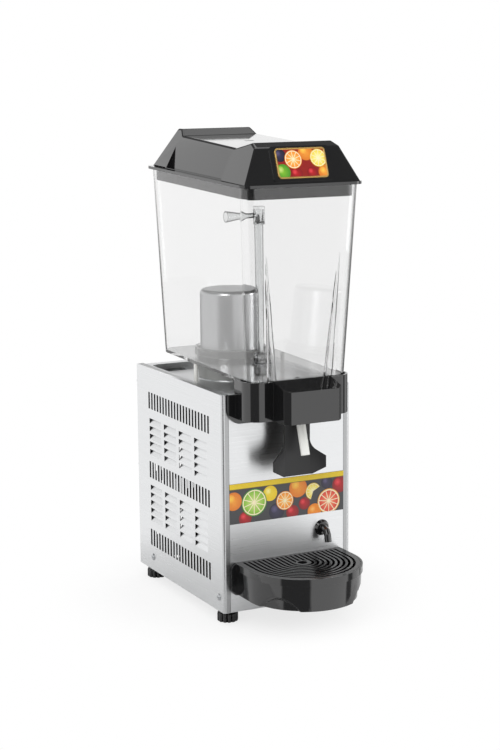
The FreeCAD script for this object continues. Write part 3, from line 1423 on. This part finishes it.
def front_cover():
    """Moulded cover with wings, tap box, flange, lever lugs, tube shelf and anvil."""
    high = above_top("wing_rise")
    flange_back = from_front("- 0.35")
    flange_front = from_front("- 0.35 - flange_thickness")
    outside = [cover_wings("cover_wings", "0", COVER_LOW, high), cover_box("cover_box", "0", COVER_LOW)]
    inside = [cover_wings("cover_wings_hollow", "cover_wall", COVER_LOW + " - 1", high + " + 1"),
              cover_box("cover_box_hollow", "cover_wall", COVER_LOW + " - 1")]
    shell = cut("cover_shell", fuse("cover_outside", outside), inside)
    trim = box("cover_trim", "-casing_width", "casing_width", flange_back, from_front("20"),
               "0", above_top("60"))
    shell = cut("cover_walls", shell, [trim])
    flange = new_body("cover_flange")
    plate = new_sketch(flange, "XZ_Plane", "-" + flange_back)
    rectangle(plate, "-flange_half", "flange_half", above_top("- flange_drop"), TOP)
    feature = pad(flange, plate, "flange_thickness")
    low = number(above_top("- flange_drop"))

    def lower_corner(edge):
        span = edge.BoundBox
        short = abs(span.YLength - number("flange_thickness")) < 0.01
        return short and span.XLength < 0.01 and abs(span.ZMin - low) < 0.01

    round_edges(flange, feature, "20", lower_corner)
    added = [shell, flange]
    for side in (-1, 1):
        near, far = "%d * %s" % (side, LUG), "%d * (%s + lug_width)" % (side, LUG)
        left, right = (near, far) if side > 0 else (far, near)
        added.append(box("cover_lug", left, right, PIVOT_Y + " - 6", flange_front + " + 1",
                         PIVOT_Z + " - 7", above_top("- 1")))
    shelf_half = "(%s + lug_width)" % LUG
    added.append(box("tube_shelf", "-" + shelf_half, shelf_half,
                     from_front("- outlet_front - outlet_radius - 4"), flange_front + " + 1",
                     above_top("- 1.5"), above_top("1.5")))
    anvil_back = from_front("- outlet_front - outlet_radius - 9.4")
    added.append(box("cover_anvil", "-9", "9", from_front("- box_front + 1"), anvil_back,
                     COVER_LOW + " + 1", COVER_LOW + " + 6"))
    holes = [cylinder("pin_hole", "-40", PIVOT_Y, PIVOT_Z, "pin_radius", "80", "X"),
             cylinder("shelf_hole", "0", from_front("- outlet_front"), above_top("- 3"),
                      "outlet_radius", "6")]
    for side in (-1, 1):
        holes.append(cylinder("screw_hole", "%d * (box_half + cover_screw_out)" % side, from_front("- 6"),
                              above_top("- cover_screw_drop"), "screw_radius", "12", "Y"))
    return cut("front_cover", fuse("cover_body", added), holes)


def cover_screws():
    screws = []
    for side in (-1, 1):
        screws.append(screw("cover_screw", "%d * (box_half + cover_screw_out)" % side,
                            from_front("- 0.35 - flange_thickness"),
                            above_top("- cover_screw_drop"), "Y", -1))
    return group("cover_screws", screws)


def lever_pin():
    """Steel pin through both lugs and the lever's barrel."""
    reach = "(%s + lug_width)" % LUG
    return cylinder("lever_pin", "-" + reach, PIVOT_Y, PIVOT_Z, "pin_radius", "2 * " + reach, "X")


def lever_paddle():
    """Wide lower end of the lever: two wings bent forward, with cut corners."""
    body = new_body("lever_paddle")
    low = "(%s - lever_length)" % PIVOT_Z
    tip_x = "(lever_half + paddle_wing * cos(paddle_angle))"
    tip_y = "(%s - paddle_wing * sin(paddle_angle))" % LEVER_FRONT
    shift_x = "lever_thickness * sin(paddle_angle)"
    shift_y = "lever_thickness * cos(paddle_angle)"
    bend_x = "(lever_half + lever_thickness * tan(paddle_angle / 2))"
    back = LEVER_FRONT + " + lever_thickness"
    plan = new_sketch(body, "XY_Plane", low)
    polygon(plan, [("-lever_half", LEVER_FRONT), ("lever_half", LEVER_FRONT), (tip_x, tip_y),
                   ("%s + %s" % (tip_x, shift_x), "%s + %s" % (tip_y, shift_y)), (bend_x, back),
                   ("-" + bend_x, back), ("-%s - %s" % (tip_x, shift_x), "%s + %s" % (tip_y, shift_y)),
                   ("-" + tip_x, tip_y)])
    pad(body, plan, "paddle_height")
    face = new_sketch(body, "XZ_Plane", "-" + LEVER_FRONT)
    high = "(%s + paddle_height)" % low
    for side in (-1, 1):
        far = "%d * (%s + 9)" % (side, tip_x)
        polygon(face, [("%d * (lever_half + 2.6)" % side, low), (far, low),
                       (far, low + " + paddle_height * 0.286")])
        middle = "(lever_half + paddle_round)"
        end_x = "(%s - paddle_round * cos(paddle_turn))" % middle
        end_z = "(%s - paddle_round * sin(paddle_turn))" % high
        fall = "(%s + 9 - %s) / tan(paddle_turn)" % (tip_x, end_x)
        polygon(face, [("%d * %s" % (side, middle), high), ("%d * %s" % (side, end_x), end_z),
                       (far, "%s - %s" % (end_z, fall)), (far, high)])
    pocket(body, face, "6 * lever_front", both=True)
    hollows = new_sketch(body, "XZ_Plane", "-" + LEVER_FRONT)
    for side in (-1, 1):
        circle(hollows, "%d * (lever_half + paddle_round)" % side, high, "paddle_round")
    pocket(body, hollows, "6 * lever_front", both=True)
    return body


def push_lever():
    """Tap lever: paddle and neck hang from a hinge barrel; its fork clears the tube."""
    low = "(%s - lever_length)" % PIVOT_Z
    back = LEVER_FRONT + " + lever_thickness"
    neck_top = PIVOT_Z + " + 2"
    neck = box("lever_neck", "-lever_half", "lever_half", LEVER_FRONT, back,
               low + " + paddle_height - 1", neck_top)
    arm = new_body("lever_arm")
    side_view = new_sketch(arm, "YZ_Plane", "0")
    polygon(side_view, [(back + " - 1", PIVOT_Z + " - 12"), (PIVOT_Y, PIVOT_Z + " - 4"),
                        (PIVOT_Y, PIVOT_Z + " + 4"), (back + " - 1", neck_top)])
    pad(arm, side_view, "2 * lever_half", both=True)
    barrel = cylinder("lever_barrel", "-lever_half", PIVOT_Y, PIVOT_Z, "barrel_radius",
                      "2 * lever_half", "X")
    whole = fuse("lever_body", [lever_paddle(), neck, arm, barrel])
    fork = box("lever_fork", "-(outlet_radius + 2.4)", "outlet_radius + 2.4", LEVER_FRONT + " - 1",
               PIVOT_Y + " - barrel_radius", COVER_LOW, neck_top + " + 2")
    bore = cylinder("lever_bore", "-30", PIVOT_Y, PIVOT_Z, "pin_radius + thread_clearance", "60",
                    "X")
    return cut("push_lever", whole, [fork, bore])


def coil(label, turns, radius, wire, start, finish):
    """Wound spring between two places along Y, one unbroken wire of flat sides."""
    steps = 12 * turns
    rise = (finish.y - start.y) / steps
    places = []
    for step in range(steps + 1):
        angle = 2 * math.pi * step / 12
        places.append(start + vector(radius * math.cos(angle), rise * step, radius * math.sin(angle)))
    section = ring_of_points(places[0], vector(1, 0), vector(0, 1), wire, 6)
    shape = Part.makePolygon(places).makePipeShell([section], True, False, 1)
    spring = document.addObject("Part::Feature", label)
    spring.Label = label
    spring.Shape = shape
    return spring


def lever_spring():
    """Spring between the flange and the lever that pushes the lever shut."""
    height = number(COVER_LOW)
    wire = 0.6
    start = number(LEVER_FRONT + " + lever_thickness") + wire + 0.1
    finish = number(from_front("- 0.35 - flange_thickness")) - wire - 0.1
    return coil("lever_spring", 6, 4, wire, vector(0, start, height), vector(0, finish, height))


def outlet_tube():
    """Soft white tube from the bowl's spigot down past the lever."""
    low_y = from_front("- outlet_front - tan(outlet_angle) * (outlet_drop - outlet_bend)")
    bend_y = from_front("- outlet_front")
    corners = [("0", low_y, above_top("- outlet_drop")), ("0", bend_y, above_top("- outlet_bend")),
               ("0", bend_y, above_top("13"))]
    return bent_tube("outlet_tube", corners, "15", "outlet_radius - 0.01", "outlet_bore")


# Machinery

DECK_UNDER = "(%s - sheet_gauge)" % DECK_FLOOR
PLATE_TOP = above_edge("2 * sheet_gauge + 0.1")
MAGNET_TOP = "(%s - 1.2)" % DECK_UNDER


def drive_magnet():
    """Magnet disc under the deck that turns the impeller through the steel."""
    disc = cylinder("magnet_disc", "0", PUMP_Y, MAGNET_TOP + " - 8", "impeller_radius + 2", "8")
    bore = cylinder("magnet_bore", "0", PUMP_Y, MAGNET_TOP + " - 9", "2.5", "6")
    return cut("drive_magnet", disc, [bore])


def drive_shaft():
    return cylinder("drive_shaft", "0", PUMP_Y, MAGNET_TOP + " - 19", "2.5", "16")


def pump_motor():
    """Small motor that hangs under the deck on its bracket."""
    top = "(%s - 10)" % MAGNET_TOP
    can = cylinder("motor_can", "0", PUMP_Y, top + " - pump_motor_height", "pump_motor_radius",
                   "pump_motor_height")
    bore = cylinder("motor_bore", "0", PUMP_Y, top + " - 11", "2.5 + thread_clearance", "12")
    return cut("pump_motor", can, [bore])


def motor_bracket():
    """Folded steel strap that hangs the pump motor from the deck."""
    body = new_body("motor_bracket")
    strap = new_sketch(body, "XZ_Plane", "-%s + 15" % PUMP_Y)
    inner = "(pump_motor_radius + 0.2)"
    outer = "(pump_motor_radius + 1.7)"
    tab = "(pump_motor_radius + 14)"
    low = "(%s - 10 - pump_motor_height)" % MAGNET_TOP
    half = [(tab, DECK_UNDER), (inner, DECK_UNDER), (inner, low)]
    under = [(outer, low + " - 1.5"), (outer, DECK_UNDER + " - 1.5"), (tab, DECK_UNDER + " - 1.5")]
    left_half = [("-" + x, z) for x, z in reversed(half)]
    left_under = [("-" + x, z) for x, z in reversed(under)]
    polygon(strap, half + left_half + left_under + under)
    pad(body, strap, "30", away=True)
    return body


def compressor_places():
    for across in (-1, 1):
        for along in (-1, 1):
            yield ("compressor_x + %d * mount_half_x" % across,
                   from_front("compressor_back + %d * mount_half_y" % along))


def compressor():
    """Welded steel shell with domed ends, a seam and a foot plate."""
    x, y = "compressor_x", from_front("compressor_back")
    low = PLATE_TOP + " + 12"
    body = new_body("compressor_shell")
    outline = new_sketch(body, "XY_Plane", low + " + 2")
    circle(outline, x, y, "compressor_radius")
    shell = pad(body, outline, "compressor_height")
    slope_edges(body, shell, "compressor_radius * 0.3", lambda edge: edge.BoundBox.ZLength < 0.01)
    seam = cylinder("compressor_seam", x, y, low + " + compressor_height * 0.55",
                    "compressor_radius + 2", "4")
    plate = box("compressor_plate", x + " - 56", x + " + 56", y + " - 50", y + " + 50",
                low, low + " + 2.5")
    whole = fuse("compressor_body", [body, seam, plate])
    holes = [cylinder("plate_hole", px, py, low + " - 1", "4", "5") for px, py in compressor_places()]
    return cut("compressor", whole, holes)


def compressor_grommets():
    """Four rubber mounts between compressor and base plate."""
    mounts = []
    for x, y in compressor_places():
        foot_part = prism("grommet_foot", x, y, PLATE_TOP, "8", "12", 10)
        neck = prism("grommet_neck", x, y, PLATE_TOP + " + 11", "4", "5", 10)
        mounts.append(fuse("grommet", [foot_part, neck]))
    return group("compressor_grommets", mounts)


CONDENSER_LEFT = "(-%s + 10)" % HALF
CONDENSER_BACK = from_front("condenser_front + condenser_depth")
CONDENSER_LOW = "(%s + 10)" % PLATE_TOP


def condenser_tube():
    """One long copper tube that folds back and forth through the fins in two layers."""
    near, far = from_front("condenser_front - 10"), CONDENSER_BACK + " + 10"
    layers = (CONDENSER_LEFT + " + condenser_thickness * 0.27",
              CONDENSER_LEFT + " + condenser_thickness * 0.73")
    rows = 5
    places = []
    for layer, x in enumerate(layers):
        order = range(rows) if layer == 0 else reversed(range(rows))
        for step, row in enumerate(order):
            z = "%s + condenser_height * %g" % (CONDENSER_LOW, (row + 0.5) / rows)
            ends = (far, near) if step % 2 == layer else (near, far)
            if layer == 1:
                ends = (near, far) if step % 2 == 0 else (far, near)
            places.append((x, ends[0], z))
            places.append((x, ends[1], z))
    return plain_pipe("condenser_tube", places, "5", "pipe_radius + 0.5", 6)


def condenser():
    """Finned copper heat exchanger beside the fan."""
    fins = []
    for index in range(int(number("condenser_fins"))):
        y = "%s + %d * (condenser_depth - 1.5) / (condenser_fins - 1)" % (
            from_front("condenser_front"), index)
        fins.append(box("condenser_fin", CONDENSER_LEFT, CONDENSER_LEFT + " + condenser_thickness",
                        y, y + " + 1.5", CONDENSER_LOW, CONDENSER_LOW + " + condenser_height"))
    return fuse("condenser", fins + [condenser_tube()])


FAN_X = "(%s + condenser_thickness + 6)" % CONDENSER_LEFT
FAN_Y = from_front("condenser_front + condenser_depth / 2")
FAN_Z = "(%s + condenser_height / 2)" % CONDENSER_LOW


def fan_shroud():
    """Sheet with a round opening that holds the fan to the condenser."""
    low = CONDENSER_LOW + " - 10"
    sheet_part = box("shroud_sheet", FAN_X, FAN_X + " + 2", from_front("condenser_front"), CONDENSER_BACK,
                     low, CONDENSER_LOW + " + condenser_height")
    collar = cylinder("shroud_collar", FAN_X, FAN_Y, FAN_Z, "fan_radius + 5", "12", "X")
    opening = cylinder("shroud_opening", FAN_X + " - 1", FAN_Y, FAN_Z, "fan_radius + 3", "16", "X")
    parts = [sheet_part, collar]
    for front in (from_front("condenser_front"), CONDENSER_BACK + " - 2"):
        parts.append(box("shroud_fold", CONDENSER_LEFT + " + condenser_thickness", FAN_X + " + 1",
                         front, front + " + 2", CONDENSER_LOW,
                         CONDENSER_LOW + " + condenser_height"))
    joined = fuse("shroud_body", parts)
    return cut("fan_shroud", joined, [opening])


def fan_blade():
    """Fan wheel with five pitched blades."""
    middle = FAN_X + " + 9"
    hub = cylinder("fan_hub", middle + " - 8", FAN_Y, FAN_Z, "12", "16", "X")
    blades = [hub]
    for index in range(5):
        blade = document.addObject("Part::Box", "fan_paddle")
        bind(blade, "Length", "2")
        bind(blade, "Width", "26")
        bind(blade, "Height", "fan_radius - 12")
        turn = FreeCAD.Rotation(vector(1, 0), index * 72)
        pitch = FreeCAD.Rotation(vector(0, 0, 1), 35)
        corner = turn.multiply(pitch)
        shift = corner.multVec(vector(-1, -13, 9))
        blade.Placement = FreeCAD.Placement(vector(0, 0), corner)
        for field, text, more in (("x", middle, shift.x), ("y", FAN_Y, shift.y), ("z", FAN_Z, shift.z)):
            bind(blade, "Placement.Base." + field, "%s + %.6f" % (text, more))
        blades.append(blade)
    bore = cylinder("fan_bore", middle + " - 9", FAN_Y, FAN_Z, "3", "18", "X")
    return cut("fan_blade", fuse("fan_wheel", blades), [bore])


def fan_shaft():
    return cylinder("fan_shaft", FAN_X + " + 2", FAN_Y, FAN_Z, "3", "30", "X")


def fan_motor():
    """Round fan motor behind the wheel."""
    start = FAN_X + " + 20"
    can = cylinder("fan_motor_can", start, FAN_Y, FAN_Z, "20", "38", "X")
    bore = cylinder("fan_motor_bore", start + " - 1", FAN_Y, FAN_Z, "3 + thread_clearance", "15", "X")
    return cut("fan_motor", can, [bore])


def fan_bracket():
    """Cross bar with two legs that holds the motor in front of the shroud."""
    start = FAN_X + " + 58"
    bar = box("fan_bar", start, start + " + 2", FAN_Y + " - fan_radius - 8",
              FAN_Y + " + fan_radius + 8", FAN_Z + " - 10", FAN_Z + " + 10")
    pieces = [bar]
    for side in (-1, 1):
        outer = "%s + %d * (fan_radius + 8)" % (FAN_Y, side)
        inner = "%s + %d * (fan_radius + 6)" % (FAN_Y, side)
        front, back = (inner, outer) if side > 0 else (outer, inner)
        pieces.append(box("fan_leg", FAN_X + " + 2", start + " + 1", front, back,
                          FAN_Z + " - 10", FAN_Z + " + 10"))
    return fuse("fan_bracket", pieces)


COLD_Y = from_front("cold_back")
PIPE_TOP = above_top("cold_height - 20")


def suction_pipe():
    """Pipe from the cold cylinder down to the top of the compressor."""
    low = PLATE_TOP + " + 14 + compressor_height"
    bend = DECK_UNDER + " - 45"
    back = from_front("compressor_back")
    corners = [("compressor_x", back, low), ("compressor_x", back, bend),
               ("8", COLD_Y, bend), ("8", COLD_Y, PIPE_TOP)]
    return plain_pipe("suction_pipe", corners, "7", "pipe_radius")


def condenser_end(part):
    """Place where the condenser's tube ends, for its left or right layer."""
    return ("%s + condenser_thickness * %s" % (CONDENSER_LEFT, part), CONDENSER_BACK + " + 10.01",
            "%s + condenser_height * 0.1" % CONDENSER_LOW)


def liquid_pipe():
    """Pipe from the condenser up to the cold cylinder."""
    x, y, z = condenser_end("0.27")
    back = from_front("215")
    bend = DECK_UNDER + " - 25"
    corners = [(x, y, z), (x, back, z), (x, back, bend), ("-8", back, bend),
               ("-8", COLD_Y, bend), ("-8", COLD_Y, PIPE_TOP)]
    return plain_pipe("liquid_pipe", corners, "7", "pipe_radius")


def discharge_pipe():
    """Pipe from the compressor's side to the condenser."""
    x, y, z = condenser_end("0.73")
    level = "%s + compressor_height * 0.35" % PLATE_TOP
    back = from_front("compressor_back")
    corners = [(x, y, z), (x, back, z), (x, back, level),
               ("compressor_x - compressor_radius", back, level)]
    return plain_pipe("discharge_pipe", corners, "7", "pipe_radius")


# Switches and cable gland

PANEL_BACK = "(%s + sheet_gauge + 0.1)" % BACK
SWITCH_MIDDLE = "(%s + 13)" % SWITCH_LOW
SWITCH_PIVOT = "(%s - 3)" % BACK


def cable_gland():
    """Plastic gland in the back where a mains lead would pass."""
    collar = cylinder("gland_collar", GLAND_X, PANEL_BACK, SWITCH_MIDDLE, "11", "5", "Y")
    body = cylinder("gland_body", GLAND_X, BACK + " - 10", SWITCH_MIDDLE, "7.9", "15", "Y")
    bore = cylinder("gland_bore", GLAND_X, BACK + " - 11", SWITCH_MIDDLE, "3.6", "20", "Y")
    return cut("cable_gland", fuse("gland_whole", [collar, body]), [bore])


def switch_housings():
    """Two rocker switch housings in the back sheet."""
    housings = []
    for x in SWITCHES:
        bezel = box("switch_bezel", x + " - 11.5", x + " + 11.5", PANEL_BACK, PANEL_BACK + " + 2",
                    SWITCH_MIDDLE + " - 15", SWITCH_MIDDLE + " + 15")
        body = box("switch_body", x + " - switch_half", x + " + switch_half", BACK + " - 22",
                   PANEL_BACK + " + 1", SWITCH_MIDDLE + " - switch_half_height",
                   SWITCH_MIDDLE + " + switch_half_height")
        cavity = box("switch_cavity", x + " - 7.6", x + " + 7.6", BACK + " - 16",
                     PANEL_BACK + " + 3", SWITCH_MIDDLE + " - 11.2", SWITCH_MIDDLE + " + 11.2")
        pivot = cylinder("switch_pivot", x + " - 9", SWITCH_PIVOT, SWITCH_MIDDLE,
                         "1.2 + thread_clearance", "18", "X")
        housings.append(cut("switch_housing", fuse("switch_whole", [bezel, body]), [cavity, pivot]))
    return group("switch_housings", housings)


def rocker(label, x):
    """Rocker with two sloping faces and stub pins at its sides."""
    body = new_body(label + "_body")
    side_view = new_sketch(body, "YZ_Plane", x)
    outline = (("-4", "-4"), ("8", "-10"), ("6.4", "0"), ("8", "10"), ("-4", "4"))
    polygon(side_view, [("%s + %s" % (SWITCH_PIVOT, y), "%s + %s" % (SWITCH_MIDDLE, z))
                        for y, z in outline])
    pad(body, side_view, "14.8", both=True)
    pins = cylinder(label + "_pins", x + " - 8.9", SWITCH_PIVOT, SWITCH_MIDDLE, "1.2", "17.8", "X")
    return fuse(label, [body, pins])


def feet():
    names = ("foot_front_left", "foot_front_right", "foot_rear_left", "foot_rear_right")
    return [foot(name, x, y) for name, (x, y) in zip(names, foot_places())]


def build_all():
    """Make every piece, in order from the counter up."""
    left_side = side_panel("left_side_panel", -1)
    return feet() + [
        foot_nuts(), left_side, mirrored("right_side_panel", left_side), front_panel(), rear_panel(),
        top_deck(), base_plate(), side_screws(), rear_screws(), front_print(), drain_spout(),
        drain_hose(), drip_tray(), drip_grille(), bowl(), cold_cylinder(), cold_gasket(),
        bowl_posts(), impeller_pin(), impeller(), pump_housing(), spray_tube(), spray_nozzle(),
        lid(), lid_badge(), front_cover(), cover_screws(), lever_pin(), push_lever(),
        lever_spring(), outlet_tube(), drive_magnet(), drive_shaft(), pump_motor(),
        motor_bracket(), compressor(), compressor_grommets(), condenser(), fan_shroud(),
        fan_blade(), fan_shaft(), fan_motor(), fan_bracket(), suction_pipe(), liquid_pipe(),
        discharge_pipe(), cable_gland(), switch_housings(), rocker("power_rocker", SWITCHES[0]),
        rocker("pump_rocker", SWITCHES[1])]


pieces = build_all()
document.recompute()

for thing in document.Objects:
    if "Invalid" in thing.State or "Error" in thing.State:
        raise RuntimeError("%s was not rebuilt: %s" % (thing.Label, thing.State))

os.makedirs("parts", exist_ok=True)
for piece in pieces:
    shape = piece.Shape
    if shape.isNull() or not shape.isValid():
        raise RuntimeError("%s has no valid shape" % piece.Label)
    shape.exportStep("parts/%s.step" % piece.Label)
print("pieces:", len(pieces))
